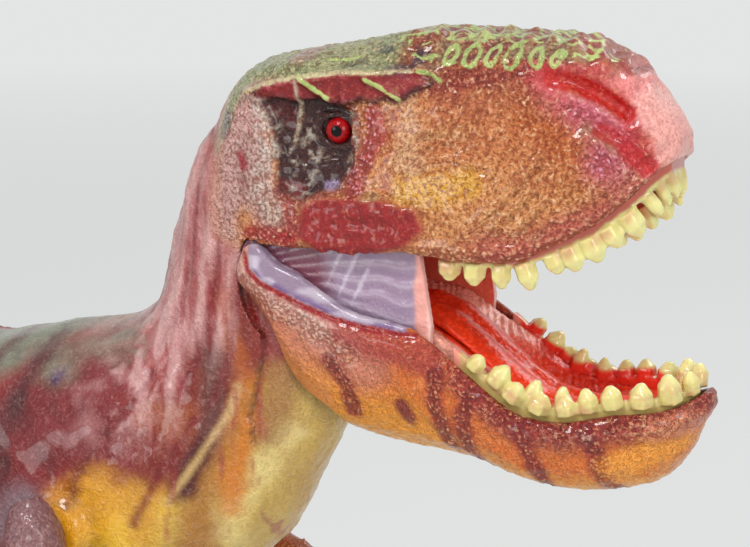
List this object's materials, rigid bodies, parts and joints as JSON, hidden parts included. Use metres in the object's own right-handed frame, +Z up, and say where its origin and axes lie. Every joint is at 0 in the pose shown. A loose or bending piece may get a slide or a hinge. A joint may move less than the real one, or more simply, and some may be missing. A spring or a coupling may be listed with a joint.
{
  "type": "toy dinosaur figure",
  "caption": "Standing toy theropod dinosaur of hollow painted vinyl, with a hinged jaw and arms, legs and tail that swivel on snap joints.",
  "frame": {"origin": "on the floor, under the middle of the figure's bounding box", "axes": "+Z up, the figure faces -Y with its tail towards +Y, its left side is +X"},
  "size_m": [0.1482, 0.5126, 0.2483],
  "materials": {
    "painted_vinyl": "hand-painted dusky red and orange soft vinyl, glossy",
    "painted_jaw_vinyl": "orange-yellow soft vinyl with maroon brushed bands, glossy",
    "tooth_vinyl": "pale yellow-green vinyl, glossy",
    "red_vinyl": "bright red-orange vinyl, glossy",
    "purple_vinyl": "lavender-grey ribbed vinyl, satin",
    "eye_plastic": "red gloss paint with a black pupil",
    "steel": "plain drawn wire"
  },
  "bodies": {
    "body": {"body_shell": "painted_vinyl", "upper_teeth": "tooth_vinyl", "palate": "red_vinyl", "jaw_pin": "steel", "eye_left": "eye_plastic", "eye_right": "eye_plastic"},
    "jaw": {"jaw_shell": "painted_jaw_vinyl", "mouth_floor": "red_vinyl", "tongue": "red_vinyl", "lower_teeth": "tooth_vinyl", "cheek_web_left": "purple_vinyl", "cheek_web_right": "purple_vinyl"},
    "leg_left": {"leg_left": "painted_vinyl"},
    "leg_right": {"leg_right": "painted_vinyl"},
    "arm_left": {"arm_left": "painted_vinyl"},
    "arm_right": {"arm_right": "painted_vinyl"},
    "tail": {"tail": "painted_vinyl"}
  },
  "joints": [
    {"name": "jaw_hinge", "type": "hinge", "parent": "body", "child": "jaw", "pos_m": [0, -0.156, 0.197], "axis": [1, 0, 0], "range_deg": [-15, 2]},
    {"name": "hip_left", "type": "hinge", "parent": "body", "child": "leg_left", "pos_m": [0.0355, -0.04, 0.123], "axis": [1, 0, 0], "range_deg": [-45, 45]},
    {"name": "hip_right", "type": "hinge", "parent": "body", "child": "leg_right", "pos_m": [-0.0355, -0.04, 0.123], "axis": [1, 0, 0], "range_deg": [-45, 45]},
    {"name": "shoulder_left", "type": "hinge", "parent": "body", "child": "arm_left", "pos_m": [0.0338, -0.106, 0.127], "axis": [1, 0, 0], "range_deg": [-90, 50]},
    {"name": "shoulder_right", "type": "hinge", "parent": "body", "child": "arm_right", "pos_m": [-0.0338, -0.106, 0.127], "axis": [1, 0, 0], "range_deg": [-90, 50]},
    {"name": "tail_swivel", "type": "hinge", "parent": "body", "child": "tail", "pos_m": [0, 0.024, 0.1232], "axis": [0, 1, 0], "range_deg": [-90, 90]}
  ]
}
